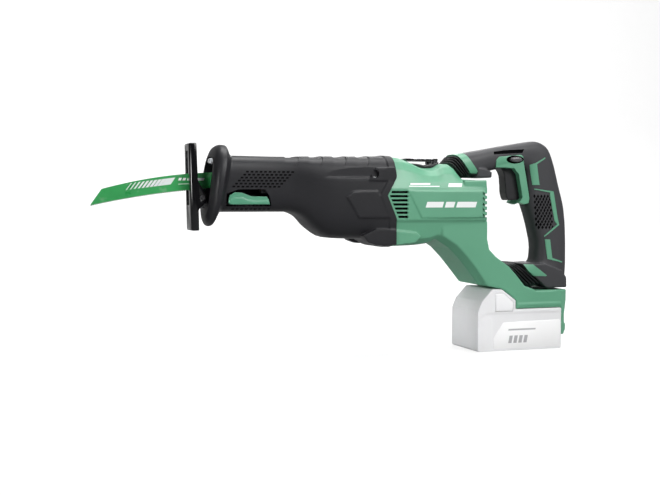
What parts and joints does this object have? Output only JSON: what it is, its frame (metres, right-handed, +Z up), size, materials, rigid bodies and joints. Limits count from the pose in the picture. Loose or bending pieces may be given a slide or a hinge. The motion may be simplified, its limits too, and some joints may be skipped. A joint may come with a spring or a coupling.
{
  "type": "reciprocating saw",
  "caption": "Cordless reciprocating saw: a long rubber-covered nose with a hinged shoe and curved blade, a motor body and angled leg, a D-shaped rear handle and a slide-on battery.",
  "frame": {"origin": "centre of the bounding box in X and Y, on the battery's flat underside", "axes": "+Z up with the saw standing on its battery, blade pointing to -X along its length, +Y to the saw's right-hand side as the blade points away"},
  "size_m": [0.5998, 0.0818, 0.2614],
  "materials": {
    "green_shell": "satin moulded nylon, fine spark texture",
    "green_lever": "satin moulded plastic",
    "cover_rubber": "matte soft cover",
    "bellows_rubber": "matte ribbed rubber",
    "handle_grip": "matte soft grip over hard plastic",
    "trigger_black": "satin plastic",
    "button_black": "satin plastic",
    "button_grey": "satin plastic",
    "battery_case": "pale satin plastic",
    "shoe_black": "gloss black oxide steel",
    "blade_paint": "painted bimetal blade with bare teeth",
    "bright_steel": "bright steel",
    "dark_steel": "dark phosphated steel",
    "machined_steel": "ground steel",
    "screw_steel": "black screw steel",
    "cast_metal": "as cast",
    "bronze": "sintered bronze",
    "motor_copper": "laminations with copper windings",
    "black_nylon": "moulded nylon",
    "circuit_board": "coated board",
    "light_lens": "clear lens"
  },
  "bodies": {
    "housing": {"Housing_Left": "green_shell", "Housing_Right": "green_shell", "Front_Cover": "cover_rubber", "Gear_Case": "cast_metal", "Bearing_Plate": "cast_metal", "Bushing_Front": "bronze", "Bushing_Rear": "bronze", "Stator": "motor_copper", "Motor_Bearing_Front": "machined_steel", "Motor_Bearing_Rear": "machined_steel", "Shaft_Bearing_Front": "machined_steel", "Shaft_Bearing_Rear": "machined_steel", "Control_Board": "circuit_board", "Terminal_Block": "black_nylon", "Screw_Base_Rear": "screw_steel", "Screw_Leg": "screw_steel", "Screw_Motor_Low": "screw_steel", "Screw_Motor_Rear": "screw_steel", "Work_Light": "light_lens", "Bellows_Upper": "bellows_rubber", "Bellows_Lower": "bellows_rubber"},
    "rotor": {"Rotor_Shaft": "machined_steel", "Rotor_Core": "machined_steel", "Fan": "black_nylon", "Pinion": "machined_steel"},
    "gear_shaft": {"Intermediate_Shaft": "machined_steel", "Large_Gear": "machined_steel", "Wobble_Hub": "machined_steel"},
    "wobble": {"Wobble_Ring": "machined_steel"},
    "plunger": {"Plunger": "machined_steel", "Blade": "blade_paint"},
    "clamp": {"Clamp_Sleeve": "dark_steel"},
    "lever": {"Blade_Change_Lever": "green_lever"},
    "shoe_bar": {"Shoe_Bar": "dark_steel", "Shoe_Pin": "bright_steel"},
    "shoe": {"Shoe": "shoe_black"},
    "handle": {"Rear_Handle": "handle_grip", "Trigger_Switch": "black_nylon", "Handle_Pin": "bright_steel"},
    "trigger": {"Trigger": "trigger_black"},
    "lock_button": {"Lock_Off_Button": "button_black"},
    "hook": {"Folding_Hook": "bright_steel"},
    "battery": {"Battery_Pack": "battery_case"},
    "battery_button_left": {"Battery_Button_Left": "button_grey"},
    "battery_button_right": {"Battery_Button_Right": "button_grey"}
  },
  "joints": [
    {"name": "rotor_spin", "type": "hinge", "parent": "housing", "child": "rotor", "pos_m": [0.1, 0, 0.184], "axis": [1, 0, 0], "continuous": true},
    {"name": "gear_spin", "type": "hinge", "parent": "housing", "child": "gear_shaft", "pos_m": [0.04, 0, 0.162], "axis": [1, 0, 0], "continuous": true},
    {"name": "plunger_stroke", "type": "slide", "parent": "housing", "child": "plunger", "axis": [1, 0, 0], "range_m": [-0.016, 0.016]},
    {"name": "wobble_tilt", "type": "hinge", "parent": "housing", "child": "wobble", "pos_m": [0.008, 0, 0.162], "axis": [0, 1, 0], "range_deg": [-20, 20]},
    {"name": "clamp_turn", "type": "hinge", "parent": "plunger", "child": "clamp", "pos_m": [-0.146, 0, 0.208], "axis": [1, 0, 0], "range_deg": [0, 45], "stiffness_Nm_per_rad": 0.4},
    {"name": "lever_open", "type": "hinge", "parent": "housing", "child": "lever", "pos_m": [-0.125, -0.027, 0.1834], "axis": [1, 0, 0], "range_deg": [0, 75.2], "stiffness_Nm_per_rad": 0.05},
    {"name": "shoe_reach", "type": "slide", "parent": "housing", "child": "shoe_bar", "axis": [-1, 0, 0], "range_m": [0, 0.03]},
    {"name": "shoe_tilt", "type": "hinge", "parent": "shoe_bar", "child": "shoe", "pos_m": [-0.176, 0, 0.189], "axis": [0, 1, 0], "range_deg": [-8, 10]},
    {"name": "handle_give", "type": "hinge", "parent": "housing", "child": "handle", "pos_m": [0.286, 0, 0.082], "axis": [0, 1, 0], "range_deg": [-1, 1], "stiffness_Nm_per_rad": 200, "deforming": ["Bellows_Upper", "Bellows_Lower"]},
    {"name": "trigger_squeeze", "type": "hinge", "parent": "handle", "child": "trigger", "pos_m": [0.228, 0, 0.23], "axis": [0, -1, 0], "range_deg": [0, 8], "stiffness_Nm_per_rad": 2},
    {"name": "lock_button_push", "type": "slide", "parent": "handle", "child": "lock_button", "axis": [0, 1, 0], "range_m": [0, 0.0025], "stiffness_N_per_m": 800},
    {"name": "hook_fold", "type": "hinge", "parent": "housing", "child": "hook", "pos_m": [0.114, 0, 0.2336], "axis": [0, 1, 0], "range_deg": [0, 100]},
    {"name": "battery_slide", "type": "slide", "parent": "housing", "child": "battery", "axis": [-1, 0, 0], "range_m": [0, 0.09]},
    {"name": "battery_button_left_press", "type": "slide", "parent": "battery", "child": "battery_button_left", "axis": [0, 1, 0], "range_m": [0, 0.0015], "stiffness_N_per_m": 800},
    {"name": "battery_button_right_press", "type": "slide", "parent": "battery", "child": "battery_button_right", "axis": [0, -1, 0], "range_m": [0, 0.0015], "stiffness_N_per_m": 800}
  ],
  "couplings": [
    {"joint": "gear_spin", "follows": "rotor_spin", "ratio": -0.25},
    {"joint": "wobble_tilt", "follows": "plunger_stroke", "rad_per_m": 21.739},
    {"joint": "lever_open", "follows": "clamp_turn", "ratio": 1.67}
  ]
}
